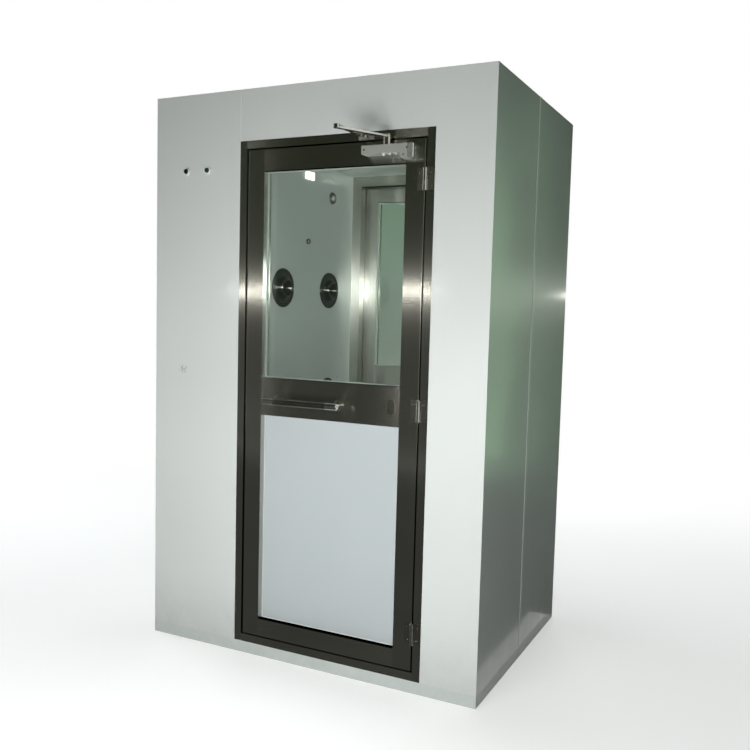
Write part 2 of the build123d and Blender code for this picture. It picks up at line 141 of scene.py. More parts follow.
# %% [markdown]
# Powder-coated sheet steel
#
# The outer skin is steel sheet with a baked coat in a cool white, glued to a light core. Baking
# leaves a faint orange peel that blurs reflections, and big glued sheets are never quite flat,
# so long reflections wander. Both are bump: peel with grains of a few millimetres, drawn at
# 9 mm because a finer one would vanish in the picture, and a slow wave about 260 mm long.
# The shade drifts a little over half a metre, and the coat turns greyer towards the floor, in
# patches as wide as a hand.

# %% Powder coat
PEEL_SIZE = 9 * MM
WAVE_SIZE = 260 * MM
DRIFT_SIZE = 588 * MM
SMEAR_SIZE = 71.4 * MM
HAZE_TOP = 0.30


def coat_colour(tree, place, light, dark):
    """Two near shades that drift into each other, with a grey haze near the floor."""
    drift = add(tree, "ShaderNodeTexNoise", Vector=place, Scale=1 / DRIFT_SIZE,
                Detail=3.0)
    colour = add(tree, "ShaderNodeMix", {"data_type": "RGBA"}, i0=drift,
                 i6=linear(light), i7=linear(dark))
    height = add(tree, "ShaderNodeSeparateXYZ", Vector=place).outputs["Z"]
    low = add(tree, "ShaderNodeMapRange", {"interpolation_type": "SMOOTHSTEP"}, Value=height,
              From_Min=HAZE_TOP, From_Max=0.0, To_Min=0.0, To_Max=0.4)
    smear = add(tree, "ShaderNodeTexNoise", Vector=place, Scale=1 / SMEAR_SIZE, Detail=6.0,
                Roughness=0.7)
    haze = add(tree, "ShaderNodeMath", {"operation": "MULTIPLY"}, i0=low, i1=smear)
    colour = add(tree, "ShaderNodeMix", {"data_type": "RGBA"}, i0=haze, i6=colour.outputs[2],
                 i7=linear("#8F938D"))
    return colour.outputs[2], smear


def coat_bump(tree, place, wave_height):
    """Orange peel on top of a slow wave."""
    wave = add(tree, "ShaderNodeTexNoise", Vector=place, Scale=1 / WAVE_SIZE, Detail=0.0)
    peel = add(tree, "ShaderNodeTexNoise", Vector=place, Scale=1 / PEEL_SIZE, Detail=1.0)
    waved = add(tree, "ShaderNodeBump", Strength=1.0, Distance=wave_height, Height=wave)
    return add(tree, "ShaderNodeBump", Strength=0.10, Distance=0.15 * MM, Height=peel,
               Normal=waved)


def powder_coat(name, light, dark, roughness, coat, wave_height=1.6 * MM):
    """A baked coat: colour, a roughness that varies with handling, peel and wave."""
    material, tree, place = new_material(name)
    colour, smear = coat_colour(tree, place, light, dark)
    rough = add(tree, "ShaderNodeMapRange", Value=smear, To_Min=roughness - 0.05,
                To_Max=roughness + 0.08)
    skin = add(tree, "ShaderNodeBsdfPrincipled", Base_Color=colour, Roughness=rough,
               Coat_Weight=coat, Coat_Roughness=0.10,
               Normal=coat_bump(tree, place, wave_height))
    add(tree, "ShaderNodeOutputMaterial", Surface=skin)
    return material


cool_white_coat = powder_coat("cool_white_powder_coat", "#E5E8E6", "#DCDFDD", 0.36, 0.45,
                              2.4 * MM)
base_coat = powder_coat("base_powder_coat", "#DDE2E0", "#D3D9D6", 0.42, 0.15)
strip_coat = powder_coat("joint_strip_coat", "#F2F4F2", "#E8EBE8", 0.34, 0.3)
# The lining's grey is partly its own coat and partly painted shade, darkened for the dim chamber.
lining_with_painted_shade = powder_coat("chamber_lining_coat", "#A5ABA7", "#999F9B", 0.28, 0.35)
infill_coat = powder_coat("door_infill_coat", "#C5CBCE", "#BDC4C8", 0.40, 0.15)
print("powder coats:", len(bpy.data.materials), "materials so far")

# %% [markdown]
# A scuff on the fan case
#
# One faint rubbed mark sits on the front of the fan case, at hip height. It is painted into the
# white coat's colour: a noise ragged at 9 mm, faded out with distance from the mark's centre.

# %% Scuff
SCUFF_PLACE = (-0.563, front_y, 1.094)
SCUFF_RADIUS = 26 * MM
RAG_SIZE = 9 * MM


def rub_in(material, centre, radius, colour):
    """Blend a ragged mark into a material's base colour."""
    tree = material.node_tree
    skin = next(n for n in tree.nodes if n.type == "BSDF_PRINCIPLED")
    below = skin.inputs["Base Color"].links[0].from_socket
    place = add(tree, "ShaderNodeTexCoord").outputs["Object"]
    away = add(tree, "ShaderNodeVectorMath", {"operation": "DISTANCE"}, i0=place, i1=centre)
    near = add(tree, "ShaderNodeMapRange", Value=away.outputs["Value"], From_Min=radius,
               From_Max=radius * 0.3, To_Min=0.0, To_Max=1.0)
    ragged = add(tree, "ShaderNodeTexNoise", Vector=place, Scale=1 / RAG_SIZE, Detail=4.0,
                 Roughness=0.7)
    torn = add(tree, "ShaderNodeMapRange", Value=ragged, From_Min=0.48, From_Max=0.60)
    amount = add(tree, "ShaderNodeMath", {"operation": "MULTIPLY"}, i0=near, i1=torn)
    marked = add(tree, "ShaderNodeMix", {"data_type": "RGBA"}, i0=amount, i6=below,
                 i7=linear(colour))
    tree.links.new(marked.outputs[2], skin.inputs["Base Color"])


rub_in(cool_white_coat, SCUFF_PLACE, SCUFF_RADIUS, "#A3A9A5")
print("scuff about", round(SCUFF_RADIUS * 2 / MM), "mm across")

# %% [markdown]
# Ground stainless steel
#
# The frames and leaves are stainless sheet ground with a belt, so fine scratches run along each
# member. A lamp then shows as a streak across the scratches and stays sharp along them: one
# bright thing at eye height becomes a pale band across every stile. The Principled shader's
# anisotropy does that when its tangent says which way the light spreads: level on the upright
# members, upright on the rails. Grain lines are about 0.3 mm apart; they are drawn 1.2 mm
# apart, or they would not show. The belt bites unevenly, so the shade drifts every third of a
# metre.

# %% Ground steel
GRAIN_WIDTH = 1.2 * MM
GRAIN_LENGTH = 700 * MM
BITE_SIZE = 333.3 * MM
NO_RAILS = ((9, 10, 9, 10),)  # a span that lies off the part


def in_band(tree, value, low, high):
    """One where a value lies between two limits, else zero."""
    off = add(tree, "ShaderNodeMath", {"operation": "SUBTRACT"}, i0=value, i1=(low + high) / 2)
    size = add(tree, "ShaderNodeMath", {"operation": "ABSOLUTE"}, i0=off)
    return add(tree, "ShaderNodeMath", {"operation": "LESS_THAN"}, i0=size,
               i1=(high - low) / 2)


def level_mask(tree, place, spans):
    """One on the rails, zero elsewhere. A span is x0, x1, z0, z1."""
    split = add(tree, "ShaderNodeSeparateXYZ", Vector=place)
    mask = 0.0
    for x0, x1, z0, z1 in spans:
        both = add(tree, "ShaderNodeMath", {"operation": "MULTIPLY"},
                   i0=in_band(tree, split.outputs["X"], x0, x1),
                   i1=in_band(tree, split.outputs["Z"], z0, z1))
        mask = add(tree, "ShaderNodeMath", {"operation": "MAXIMUM"}, i0=both, i1=mask)
    return mask


def grain(tree, place, mask):
    """Upright scratches, level where the mask is one."""
    fine, long = 1 / GRAIN_WIDTH, 1 / GRAIN_LENGTH
    streaks = []
    for scale in ((fine, fine, long), (long, fine, fine)):
        stretched = add(tree, "ShaderNodeMapping", Vector=place, Scale=scale)
        streaks.append(add(tree, "ShaderNodeTexNoise", Vector=stretched, Scale=1.0, Detail=1.0))
    return add(tree, "ShaderNodeMix", {"data_type": "FLOAT"}, i0=mask, i2=streaks[0],
               i3=streaks[1]).outputs[0]


def spread(tree, mask):
    """The direction in which the scratches spread light."""
    normal = add(tree, "ShaderNodeNewGeometry").outputs["Normal"]
    level = add(tree, "ShaderNodeVectorMath", {"operation": "CROSS_PRODUCT"},
                i0=(0, 0, 1), i1=normal)
    return add(tree, "ShaderNodeMix", {"data_type": "VECTOR"}, i0=mask, i4=level,
               i5=(0, 0, 1)).outputs[1]


def ground_steel(name, light, dark, roughness, spans=NO_RAILS, anisotropy=1.0):
    """Belt-ground stainless steel with level grain on the stated spans."""
    material, tree, place = new_material(name)
    mask = level_mask(tree, place, spans)
    streak = grain(tree, place, mask)
    drift = add(tree, "ShaderNodeTexNoise", Vector=place, Scale=1 / BITE_SIZE, Detail=4.0)
    shade = add(tree, "ShaderNodeMix", {"data_type": "FLOAT"}, i0=0.4, i2=streak, i3=drift)
    colour = add(tree, "ShaderNodeMix", {"data_type": "RGBA"}, i0=shade.outputs[0],
                 i6=linear(dark), i7=linear(light))
    rough = add(tree, "ShaderNodeMapRange", Value=streak, To_Min=roughness - 0.03,
                To_Max=roughness + 0.03)
    metal = add(tree, "ShaderNodeBsdfPrincipled", Base_Color=colour.outputs[2], Metallic=1.0,
                Roughness=rough, Anisotropic=anisotropy, Tangent=spread(tree, mask))
    add(tree, "ShaderNodeOutputMaterial", Surface=metal)
    return material


POST_WIDTH = 30 * MM
leaf_rails = [(glass_low.x, glass_high.x, leaf_low.z - MM, panel_low.z),
              (glass_low.x, glass_high.x, panel_high.z, glass_low.z),
              (glass_low.x, glass_high.x, glass_high.z, leaf_high.z + MM)]
between_posts = (frame_low.x + POST_WIDTH, frame_high.x - POST_WIDTH)
frame_rails = [(*between_posts, frame_low.z - MM, leaf_low.z),
               (*between_posts, leaf_high.z, frame_high.z + MM)]
leaf_steel = ground_steel("ground_stainless_leaf", "#C9C8C1", "#B4B3AB", 0.20, leaf_rails)
frame_steel = ground_steel("ground_stainless_frame", "#C9C8C1", "#B4B3AB", 0.20, frame_rails)
sheet_steel = ground_steel("ground_stainless_sheet", "#B9B9B4", "#9A9A94", 0.36, anisotropy=0.4)
print("rails with level grain:", len(leaf_rails) + len(frame_rails))

# %% [markdown]
# Polished metal, lacquer, rubber and plastic
#
# The closer's arms and the screws are polished stainless: nearly mirror-like, with a mottle in
# the roughness where hands and cloths have been. The closer's shoe is an aluminium casting under
# silver lacquer. The lamp bezels are pale glossy plastic, and shoes have scuffed the floor sheet
# dull. Seals are black rubber with a slightly uneven skin, and the panes are bedded in clear
# silicone, which looks pale grey.

# %% Small-part finishes
def mottled(name, light, dark, roughness, metallic, grain_size, bump=0.1, coat=0.0):
    """A finish whose colour and roughness vary in a fine mottle of the stated size."""
    material, tree, place = new_material(name)
    mottle = add(tree, "ShaderNodeTexNoise", Vector=place, Scale=1 / grain_size, Detail=4.0)
    colour = add(tree, "ShaderNodeMix", {"data_type": "RGBA"}, i0=mottle, i6=linear(dark),
                 i7=linear(light))
    rough = add(tree, "ShaderNodeMapRange", Value=mottle, To_Min=roughness * 0.75,
                To_Max=roughness * 1.3)
    bumped = add(tree, "ShaderNodeBump", Strength=bump, Distance=0.1 * MM, Height=mottle)
    skin = add(tree, "ShaderNodeBsdfPrincipled", Base_Color=colour.outputs[2],
               Metallic=metallic, Roughness=rough, Coat_Weight=coat, Normal=bumped)
    add(tree, "ShaderNodeOutputMaterial", Surface=skin)
    return material


polished_steel = mottled("polished_stainless", "#CFCDC7", "#B4B2AB", 0.17, 1.0, 12 * MM)
silver_lacquer = mottled("silver_lacquered_casting", "#B9BAB5", "#9C9D98", 0.40, 0.6, 3 * MM,
                         0.35)
# This pale finish is the bezels' own colour; on the valve caps it is a painted highlight.
pale_bezel_and_painted_glint = mottled("pale_moulded_bezel", "#EEF1EF", "#E2E6E4", 0.30, 0.0, 4 * MM, 0.1, 0.4)
black_rubber = mottled("black_rubber_seal", "#1D1E1D", "#141514", 0.62, 0.0, 2 * MM, 0.4)
black_plastic = mottled("black_moulded_plastic", "#202221", "#161817", 0.38, 0.0, 2 * MM)
floor_steel = mottled("scuffed_floor_sheet", "#BDBDB8", "#9C9C96", 0.50, 0.55, 35 * MM, 0.2)
clear_silicone = mottled("clear_silicone_bead", "#A2A9A5", "#8F9692", 0.35, 0.0, 6 * MM, 0.2)
pale_sealant = mottled("pale_silicone_sealant", "#E4E8E8", "#D8DDDD", 0.45, 0.0, 6 * MM, 0.3)
print("small-part finishes ready")

# %% [markdown]
# Two finishes on one part
#
# Some parts have two finishes. A lift-off hinge has ground plates, like the frame that they lie
# on, and a polished knuckle. A pull handle has a satin bar between polished ends, and the closer
# a bright cap on the hinge side. The distance from the middle of the door tells the shader which
# is which. On the back door it is counted the other way, because that door is turned.

# %% Finishes in zones
KNUCKLE_HALF = 7.4 * MM
HANDLE_END = 46 * MM
CAP_LENGTH = 24 * MM
FAR_RIGHT = 9  # any place past the closer


def zoned_metal(name, zones, base, accent, grain_size):
    """Metal with an accent finish in zones. A finish is colour, roughness and metallic."""
    material, tree, place = new_material(name)
    split = add(tree, "ShaderNodeSeparateXYZ", Vector=place)
    off = add(tree, "ShaderNodeMath", {"operation": "SUBTRACT"}, i0=split.outputs["X"],
              i1=middle_x)
    side = add(tree, "ShaderNodeMath", {"operation": "SIGN"}, i0=split.outputs["Y"])
    across = add(tree, "ShaderNodeMath", {"operation": "MULTIPLY"}, i0=off, i1=side)
    mask = 0.0
    for low, high in zones:
        mask = add(tree, "ShaderNodeMath", {"operation": "MAXIMUM"}, i1=mask,
                   i0=in_band(tree, across, middle_x - high, middle_x - low))
    mottle = add(tree, "ShaderNodeTexNoise", Vector=place, Scale=1 / grain_size, Detail=1.0)
    rough = add(tree, "ShaderNodeMix", {"data_type": "FLOAT"}, i0=mask, i2=base[1], i3=accent[1])
    worn = add(tree, "ShaderNodeMapRange", Value=mottle, To_Min=0.88, To_Max=1.12)
    rough = add(tree, "ShaderNodeMath", {"operation": "MULTIPLY"}, i0=rough, i1=worn)
    shine = add(tree, "ShaderNodeMix", {"data_type": "FLOAT"}, i0=mask, i2=base[2], i3=accent[2])
    colour = add(tree, "ShaderNodeMix", {"data_type": "RGBA"}, i0=mask, i6=linear(base[0]),
                 i7=linear(accent[0]))
    metal = add(tree, "ShaderNodeBsdfPrincipled", Base_Color=colour.outputs[2],
                Metallic=shine, Roughness=rough)
    add(tree, "ShaderNodeOutputMaterial", Surface=metal)
    return material


handle_low, handle_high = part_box("front_door_handle")
handle_ends = [(handle_low.x, handle_low.x + HANDLE_END),
               (handle_high.x - HANDLE_END, handle_high.x)]
knuckle = [(hinge_x - KNUCKLE_HALF, hinge_x + KNUCKLE_HALF)]
end_cap = [(closer_high.x - CAP_LENGTH, FAR_RIGHT)]
hinge_steel = zoned_metal("satin_and_polished_hinge", knuckle, ("#A9A7A0", 0.32, 1.0),
                          ("#D2D0CA", 0.20, 1.0), 20 * MM)
handle_steel = zoned_metal("satin_bar_and_polished_ends", handle_ends, ("#8E8C86", 0.24, 1.0),
                           ("#DEDCD6", 0.14, 1.0), 30 * MM)
closer_paint = zoned_metal("lacquered_casting_with_cap", end_cap, ("#C2C3BC", 0.42, 0.45),
                           ("#F0F0EA", 0.20, 0.8), 12 * MM)
print("hinge lines at x =", round(hinge_x, 3), "and", round(2 * middle_x - hinge_x, 3))

# %% [markdown]
# Turned nozzles
#
# The nozzles are turned on a lathe and plated dark. The tool leaves fine rings, and rings
# spread light outward from their centre. A lamp then shows as a bright spoke across the funnel,
# so the tangent runs outward from the nearest nozzle's axis. The axes lie on a regular grid.
# The plating's shade varies in rings too, and they are drawn 8 mm wide so that they show.

# %% Turned metal
RING_WIDTH = 8 * MM
first_low, first_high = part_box("nozzle_ball_1")
last_low, last_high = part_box("nozzle_ball_5")
column_y = abs(first_low.y + first_high.y) / 2
top_z = (first_low.z + first_high.z) / 2
row_step = (top_z - (last_low.z + last_high.z) / 2) / 2


def turned_metal(name, light, dark, roughness):
    """Plated metal whose highlights run outward from the nearest nozzle's axis."""
    material, tree, place = new_material(name)
    split = add(tree, "ShaderNodeSeparateXYZ", Vector=place)
    away_y = add(tree, "ShaderNodeMath", {"operation": "ABSOLUTE"}, i0=split.outputs["Y"])
    away_y = add(tree, "ShaderNodeMath", {"operation": "SUBTRACT"}, i0=away_y, i1=column_y)
    side = add(tree, "ShaderNodeMath", {"operation": "SIGN"}, i0=split.outputs["Y"])
    away_y = add(tree, "ShaderNodeMath", {"operation": "MULTIPLY"}, i0=away_y, i1=side)
    drop = add(tree, "ShaderNodeMath", {"operation": "SUBTRACT"}, i0=split.outputs["Z"],
               i1=top_z)
    row = add(tree, "ShaderNodeMath", {"operation": "SNAP"}, i1=row_step,
              i0=add(tree, "ShaderNodeMath", {"operation": "ADD"}, i0=drop, i1=row_step / 2))
    away_z = add(tree, "ShaderNodeMath", {"operation": "SUBTRACT"}, i0=drop, i1=row)
    outward = add(tree, "ShaderNodeCombineXYZ", X=0.001, Y=away_y, Z=away_z)
    radius = add(tree, "ShaderNodeVectorMath", {"operation": "LENGTH"}, i0=outward)
    noise = add(tree, "ShaderNodeTexNoise", {"noise_dimensions": "1D"}, Scale=1 / RING_WIDTH,
                W=radius.outputs["Value"], Detail=4.0, Roughness=0.65)
    rings = add(tree, "ShaderNodeMapRange", Value=noise, From_Min=0.32, From_Max=0.68)
    colour = add(tree, "ShaderNodeMix", {"data_type": "RGBA"}, i0=rings, i6=linear(dark),
                 i7=linear(light))
    rough = add(tree, "ShaderNodeMapRange", Value=rings, To_Min=roughness - 0.06,
                To_Max=roughness + 0.06)
    metal = add(tree, "ShaderNodeBsdfPrincipled", Base_Color=colour.outputs[2], Metallic=1.0,
                Roughness=rough, Anisotropic=1.0, Tangent=outward)
    add(tree, "ShaderNodeOutputMaterial", Surface=metal)
    return material


nozzle_metal = turned_metal("dark_plated_turned_metal", "#363833", "#0B0C0A", 0.26)
print("nozzle rows are", round(row_step, 3), "m apart")

# %% [markdown]
# Glass and lamps
#
# The panes are 6 mm float glass, clear with a slight green cast. Real light passes straight
# through, but a renderer has to find its way by luck through a refracting slab. Letting lamp
# rays pass as if the pane were a tinted film keeps the chamber lit, and the eye still sees real
# glass. A cloth leaves smears as wide as a hand. The pilot lamps are unlit domes with faint
# ribs, one nearly black and one dark green. The wall light has an opal cover, a little cloudy.

# %% Glass and lamp materials
WIPE_SIZE = 166.7 * MM
RIB_SIZE = 2 * MM
CLOUD_SIZE = 25 * MM


def pane_glass(name, tint, film):
    """Clear glass, wiped not quite evenly, that lets lamp rays straight through."""
    material, tree, place = new_material(name)
    smear = add(tree, "ShaderNodeTexNoise", Vector=place, Scale=1 / WIPE_SIZE, Detail=5.0,
                Roughness=0.65)
    rough = add(tree, "ShaderNodeMapRange", Value=smear, From_Min=0.45, From_Max=0.8,
                To_Min=0.0, To_Max=0.04)
    glass = add(tree, "ShaderNodeBsdfPrincipled", Base_Color=linear(tint), IOR=1.5,
                Roughness=rough, Transmission_Weight=1.0)
    clear = add(tree, "ShaderNodeBsdfTransparent", Color=linear(film))
    ray = add(tree, "ShaderNodeLightPath").outputs["Is Shadow Ray"]
    pane = add(tree, "ShaderNodeMixShader", i0=ray, i1=glass, i2=clear)
    add(tree, "ShaderNodeOutputMaterial", Surface=pane)
    return material


def lens_plastic(name, deep, pale):
    """A moulded lamp lens: glossy, with faint ribs of a paler shade."""
    material, tree, place = new_material(name)
    ribs = add(tree, "ShaderNodeTexNoise", Vector=place, Scale=1 / RIB_SIZE, Detail=1.0)
    tint = add(tree, "ShaderNodeMix", {"data_type": "RGBA"}, i0=ribs, i6=linear(deep),
               i7=linear(pale))
    lens = add(tree, "ShaderNodeBsdfPrincipled", Base_Color=tint.outputs[2], Roughness=0.14,
               IOR=1.49, Coat_Weight=0.6, Coat_Roughness=0.03)
    add(tree, "ShaderNodeOutputMaterial", Surface=lens)
    return material


def lit_cover(name, colour, strength):
    """An opal cover over a lit lamp, a little uneven."""
    material, tree, place = new_material(name)
    cloud = add(tree, "ShaderNodeTexNoise", Vector=place, Scale=1 / CLOUD_SIZE, Detail=2.0)
    level = add(tree, "ShaderNodeMapRange", Value=cloud, To_Min=strength * 0.8,
                To_Max=strength * 1.2)
    cover = add(tree, "ShaderNodeBsdfPrincipled", Base_Color=linear(colour), Roughness=0.4,
                Emission_Color=linear(colour), Emission_Strength=level)
    add(tree, "ShaderNodeOutputMaterial", Surface=cover)
    return material


clear_glass = pane_glass("clear_float_glass", "#EEF4F1", "#DCE6E0")
dark_lens = lens_plastic("unlit_dark_lens", "#0C0D0D", "#1B1D1C")
green_lens = lens_plastic("unlit_green_lens", "#0B2A1F", "#1E4A38")
opal_cover = lit_cover("opal_lamp_cover", "#FFFDF4", 1.6)
print("materials in all:", len(bpy.data.materials))

# %% [markdown]
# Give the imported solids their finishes
#
# A solid whose shape is right stays, and only its material changes. A table of finish and names
# is easier to check than many assignments. The door's pieces are named alike at both ends, so
# a loop over the two ends sets them.

# %% Assign the finishes
finishes = {
    cool_white_coat: ["front_left_panel", "front_right_panel", "front_header_panel",
                      "back_left_panel", "back_right_panel", "back_header_panel",
                      "left_side_panels", "right_side_panels", "roof_panel"],
    strip_coat: ["left_joint_strip", "right_joint_strip"],
    base_coat: ["base_plinth"],
    lining_with_painted_shade: ["chamber_left_wall", "chamber_right_wall", "chamber_ceiling"],
    sheet_steel: ["return_air_grilles"],
    floor_steel: ["floor_sheet"],
    nozzle_metal: ["nozzle_rings"] + ["nozzle_ball_%d" % n for n in range(1, 7)],
    black_plastic: ["presence_sensor"],
    opal_cover: ["wall_light"],
    hinge_steel: ["frame_hinge_halves"],
    silver_lacquer: ["closer_shoes"],
}
door_finishes = {
    frame_steel: ["door_frame"], leaf_steel: ["door_leaf"], clear_glass: ["door_glass"],
    infill_coat: ["door_lower_panel"], handle_steel: ["door_handle"],
    hinge_steel: ["door_hinge_halves", "door_lock"],
    closer_paint: ["closer_body"], polished_steel: ["closer_main_arm", "closer_forearm"],
}
for end in ("front_", "back_"):
    for material, names in door_finishes.items():
        finishes.setdefault(material, []).extend(end + name for name in names)
for material, names in finishes.items():
    for name in names:
        nodes[name].data.materials.clear()
        nodes[name].data.materials.append(material)
print("finished", sum(len(names) for names in finishes.values()), "of", len(nodes), "nodes")

# %% [markdown]
# Rounded edges
#
# Bent sheet has no sharp edges, and a rounded edge catches a thin line of light that tells the
# eye how thick a part is. A Bevel modifier rounds every edge that turns by more than 30
# degrees. The frames and the leaves get it; the outer panels don't, because their mitred
# corners have to stay shut.

# %% Bevel the frames and leaves
def rounded(piece, width, segments=2):
    """Round a piece's sharp edges."""
    bevel = piece.modifiers.new("rounded edges", "BEVEL")
    bevel.width, bevel.segments = width, segments
    bevel.limit_method, bevel.angle_limit = "ANGLE", math.radians(30)
    bevel.harden_normals = True


for end in ("front_", "back_"):
    rounded(nodes[end + "door_frame"], 2.0 * MM, 3)
    rounded(nodes[end + "door_leaf"], 1.5 * MM, 2)
    rounded(nodes[end + "closer_main_arm"], 0.8 * MM, 2)
    rounded(nodes[end + "closer_forearm"], 0.8 * MM, 2)
rounded(nodes["return_air_grilles"], 0.6 * MM, 1)
print("edges rounded on frames, leaves, closer arms and grilles")

# %% [markdown]
# Turned pieces
#
# Screw heads, caps, lamp bezels and domes are all turned shapes: a short outline spun about an
# axis. Spinning a few points with bmesh gives a light, closed mesh. The outline is listed in
# millimetres, as pairs of radius and height above the wall. Smooth shading with a split at
# sharp edges keeps rims crisp.

# %% A function for turned pieces
def new_piece(name, mesh, material, body):
    """Put a mesh in the scene, with its material, on a body."""
    mesh.materials.append(material)
    piece = bpy.data.objects.new(name, mesh)
    bpy.context.scene.collection.objects.link(piece)
    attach(piece, body)
    return piece


def turned(name, outline, centres, outward, material, body, segments=20):
    """Spin an outline about outward at each centre and join the copies into one piece."""
    work = bmesh.new()
    turn = Vector((0, 0, 1)).rotation_difference(Vector(outward)).to_matrix()
    for centre in centres:
        rings = []
        for radius, height in outline:
            count = segments if radius else 1
            angles = [2 * math.pi * k / segments for k in range(count)]
            points = [Vector((radius * math.cos(a), radius * math.sin(a), height)) * MM
                      for a in angles]
            rings.append([work.verts.new(Vector(centre) + turn @ p) for p in points])
        for inner, outer in zip(rings, rings[1:]):
            for k in range(segments):
                corners = [inner[k % len(inner)], outer[k % len(outer)],
                           outer[(k + 1) % len(outer)], inner[(k + 1) % len(inner)]]
                work.faces.new(list(dict.fromkeys(corners)))
    bmesh.ops.recalc_face_normals(work, faces=work.faces)
    for face in work.faces:
        face.smooth = True
    mesh = bpy.data.meshes.new(name)
    work.to_mesh(mesh)
    work.free()
    mesh.set_sharp_from_angle(angle=math.radians(35))
    return new_piece(name, mesh, material, body)


def to_back(points):
    """Places on the back door for places on the front door."""
    return [half_turn @ Vector(p) for p in points]


FRONT, BACK, RIGHT, DOWN = (0, -1, 0), (0, 1, 0), (1, 0, 0), (0, 0, -1)
print("turned pieces face front, back, right or down")

# %% [markdown]
# Pilot lamps
#
# Each lamp is a pale sloping bezel round a glossy dome. The imported model holds both as one
# solid, because they never part. Here they become two pieces, and the imported solid is hidden.

# %% Ring and dome
FINE_SEGMENTS = 40
LAMP_RING = [(9.6, 6.6), (9.9, 7.8), (10.6, 8.3), (11.6, 8.0), (13.0, 6.4), (14.3, 3.6),
             (15.0, 2.2), (15.0, 0.0), (9.4, 0.0), (9.4, 6.0), (9.6, 6.6)]
DOME_RADIUS, DOME_WALL, DOME_RISE = 9.4, 9.5, 16.0
dome = [(DOME_RADIUS * math.sin(math.radians(a)),
         DOME_WALL + (DOME_RISE - DOME_WALL) * math.cos(math.radians(a)))
        for a in range(9, 91, 9)]
dome = [(0, DOME_RISE)] + dome + [(DOME_RADIUS, 0.0), (0, 0.0)]
for side, lens in (("left", dark_lens), ("right", green_lens)):
    low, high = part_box("pilot_lamp_" + side)
    centre = [((low.x + high.x) / 2, high.y, (low.z + high.z) / 2)]
    turned("pilot_lamp_ring_" + side, LAMP_RING, centre, FRONT, pale_bezel_and_painted_glint, "cabinet",
           FINE_SEGMENTS)
    piece = turned("pilot_lamp_dome_" + side, dome, centre, FRONT, lens, "cabinet",
                   FINE_SEGMENTS)
    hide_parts("pilot_lamp_" + side)
    print("pilot lamp", side, "at", [round(v, 3) for v in centre[0]])

# %% [markdown]
# Screws
#
# Each hinge plate is held by two pan-head screws, the closer by four and its shoe by two. They
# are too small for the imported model. All the heads on one body are one mesh, and the places are
# worked out from the boxes of the parts that they hold.

# %% Screw heads
PAN_HEAD = [(0, 1.2), (1.2, 1.2), (1.5, 2.0), (2.6, 1.8), (3.5, 1.0), (3.8, 0.0), (0, 0.0)]
HINGE_THICKNESS, HINGE_HALF_HEIGHT = 2.5 * MM, 37.5 * MM
PLATE_START = 8.2 * MM
SCREW_STEP = 22 * MM
SHOE_FROM_HINGE, SHOE_STEP = 227 * MM, 21 * MM
SHOE_THICKNESS, SHOE_DROP = 5 * MM, 15 * MM
CLOSER_SCREW_ROWS = (10 * MM, 33 * MM)
CLOSER_SCREW_INSETS = (12 * MM, 25 * MM, 38 * MM)
hinge_low, hinge_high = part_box("front_door_hinge_halves")
plate_face = front_y - HINGE_THICKNESS
plate_centre = (hinge_low.x + hinge_x - PLATE_START) / 2
rows = [hinge_low.z + HINGE_HALF_HEIGHT, (hinge_low.z + hinge_high.z) / 2,
        hinge_high.z - HINGE_HALF_HEIGHT]
leaf_screws = [(plate_centre, plate_face, z + s * SCREW_STEP) for z in rows for s in (-1, 1)]
frame_screws = [(2 * hinge_x - x, y, z) for x, y, z in leaf_screws]
frame_screws += [(hinge_x - SHOE_FROM_HINGE + s * SHOE_STEP, front_y - SHOE_THICKNESS,
                  frame_high.z - SHOE_DROP) for s in (-1, 1)]
lower_row, upper_row = (closer_low.z + rise for rise in CLOSER_SCREW_ROWS)
near, between, far = CLOSER_SCREW_INSETS
leaf_screws += [(closer_high.x - near, closer_low.y, lower_row),
                (closer_high.x - far, closer_low.y, lower_row),
                (closer_high.x - between, closer_low.y, upper_row),
                (closer_low.x + near, closer_low.y, upper_row)]
for body, places in (("door", leaf_screws), ("cabinet", frame_screws)):
    turned("front_screws_" + body, PAN_HEAD, places, FRONT, polished_steel,
           "front_door" if body == "door" else body)
    turned("back_screws_" + body, PAN_HEAD, to_back(places), BACK, polished_steel,
           "back_door" if body == "door" else body)
print("screw heads:", 2 * (len(leaf_screws) + len(frame_screws)))

# %% [markdown]
# Valve caps
#
# Three caps cover the valves in the underside of the closer, one wide and two narrow. Their
# pale colour is a painted highlight that stands in for glints. The narrow ones are the same
# outline, scaled down.

# %% Caps under the closer
VALVE_CAP = [(0, 8.0), (2.4, 7.6), (4.6, 6.2), (6.0, 4.0), (6.5, 2.0), (6.5, 0.0), (0, 0.0)]
VALVES_FROM_END = (116, 91, 70)
VALVE_DEPTH = 10 * MM
UNDERSIDE_RISE = 18 * MM
small_cap = [(0.6 * r, 0.8 * h) for r, h in VALVE_CAP]
caps = [(closer_high.x - d * MM, closer_low.y + VALVE_DEPTH, closer_low.z + UNDERSIDE_RISE)
        for d in VALVES_FROM_END]
for end, move in (("front_", list), ("back_", to_back)):
    # The caps' pale colour is a painted highlight, standing in for glints.
    turned(end + "valve_cap", VALVE_CAP, move(caps[:1]), DOWN, pale_bezel_and_painted_glint, end + "door")
    turned(end + "valve_caps_small", small_cap, move(caps[1:]), DOWN, pale_bezel_and_painted_glint,
           end + "door")
print("valve caps:", 2 * len(caps))

# %% [markdown]
# Seals
#
# A bead of clear silicone runs round each pane, a pale sealant bead round each lower panel, and
# a thicker black rubber seal lines the stop that the leaf closes on. A bead is a rectangle loop
# with mitred corners, and a Bevel modifier rounds it. Because it hugs the infill, its width and
# rise stay small: 4 mm by 2 mm.

# %% Seal loops
BEAD_RISE, BEAD_WIDTH = 2 * MM, 4 * MM
SEAL_RISE, SEAL_WIDTH = 4 * MM, 9 * MM
SEAL_OVERLAP = 2 * MM
STOP_DEPTH = 55 * MM


